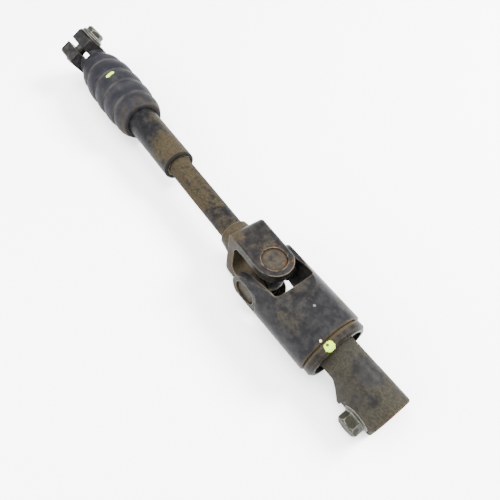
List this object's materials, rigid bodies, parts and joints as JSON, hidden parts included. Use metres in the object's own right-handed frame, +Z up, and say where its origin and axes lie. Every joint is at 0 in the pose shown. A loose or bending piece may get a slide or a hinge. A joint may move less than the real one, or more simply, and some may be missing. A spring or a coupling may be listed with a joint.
{
  "type": "steering universal joint shaft",
  "caption": "Telescoping steering shaft with a booted upper universal joint, an open lower universal joint in a slotted drum with a rubber isolator, and a split clamp at each end.",
  "frame": {"origin": "centre of the mouth of the upper clamp bore", "axes": "+X along the shaft towards the lower clamp, +Z up as it lies on a table"},
  "size_m": [0.3624, 0.0456, 0.0472],
  "materials": {
    "dark_paint": "worn satin paint with dust",
    "dusty_steel": "worn, dusty and lightly rusted",
    "bearing_steel": "ground",
    "zinc": "dull zinc plate",
    "boot_rubber": "matte",
    "seal_rubber": "matte",
    "nylon": "matte"
  },
  "bodies": {
    "outer_tube": {"outer_tube": "dark_paint", "tube_yoke": "dark_paint", "guide_bush": "nylon", "rubber_boot": "boot_rubber", "upper_cup_top": "bearing_steel", "upper_cup_bottom": "bearing_steel", "upper_needles_top": "bearing_steel", "upper_needles_bottom": "bearing_steel"},
    "upper_cross": {"upper_cross": "bearing_steel", "upper_seals": "seal_rubber"},
    "upper_clamp_yoke": {"upper_clamp_yoke": "dark_paint", "upper_clamp_bolt": "zinc", "upper_cup_left": "bearing_steel", "upper_cup_right": "bearing_steel", "upper_needles_left": "bearing_steel", "upper_needles_right": "bearing_steel"},
    "inner_shaft": {"inner_shaft": "dusty_steel", "shaft_yoke": "dusty_steel", "lower_cup_top": "dusty_steel", "lower_cup_bottom": "dusty_steel", "lower_needles_top": "bearing_steel", "lower_needles_bottom": "bearing_steel"},
    "lower_cross": {"lower_cross": "bearing_steel", "lower_seals": "seal_rubber"},
    "drum_yoke": {"drum_yoke": "dark_paint", "isolator_sleeve": "dusty_steel", "isolator_rubber": "boot_rubber", "lower_cup_left": "dusty_steel", "lower_cup_right": "dusty_steel", "lower_needles_left": "bearing_steel", "lower_needles_right": "bearing_steel"},
    "lower_clamp": {"lower_clamp": "dusty_steel", "stop_plate": "dusty_steel", "lower_clamp_bolt": "zinc"}
  },
  "joints": [
    {"name": "upper_swing_n", "type": "hinge", "parent": "outer_tube", "child": "upper_cross", "pos_m": [0.053, 0, 0], "axis": [0, 0.1219, 0.9925], "range_deg": [-14, 14], "deforming": ["rubber_boot"]},
    {"name": "upper_swing_m", "type": "hinge", "parent": "upper_cross", "child": "upper_clamp_yoke", "pos_m": [0.053, 0, 0], "axis": [0, 0.9925, -0.1219], "range_deg": [-14, 14], "deforming": ["rubber_boot"]},
    {"name": "shaft_slide", "type": "slide", "parent": "outer_tube", "child": "inner_shaft", "axis": [1, 0, 0], "range_m": [-0.022, 0.015]},
    {"name": "lower_swing_n", "type": "hinge", "parent": "inner_shaft", "child": "lower_cross", "pos_m": [0.258, 0, 0], "axis": [0, 0.1219, 0.9925], "range_deg": [-22, 22]},
    {"name": "lower_swing_m", "type": "hinge", "parent": "lower_cross", "child": "drum_yoke", "pos_m": [0.258, 0, 0], "axis": [-0.0401, 0.9917, -0.1218], "range_deg": [-22, 22]},
    {"name": "isolator_twist", "type": "hinge", "parent": "drum_yoke", "child": "lower_clamp", "pos_m": [0.258, 0, 0], "axis": [0.9992, 0.0398, -0.0049], "range_deg": [-3, 3], "stiffness_Nm_per_rad": 40}
  ]
}
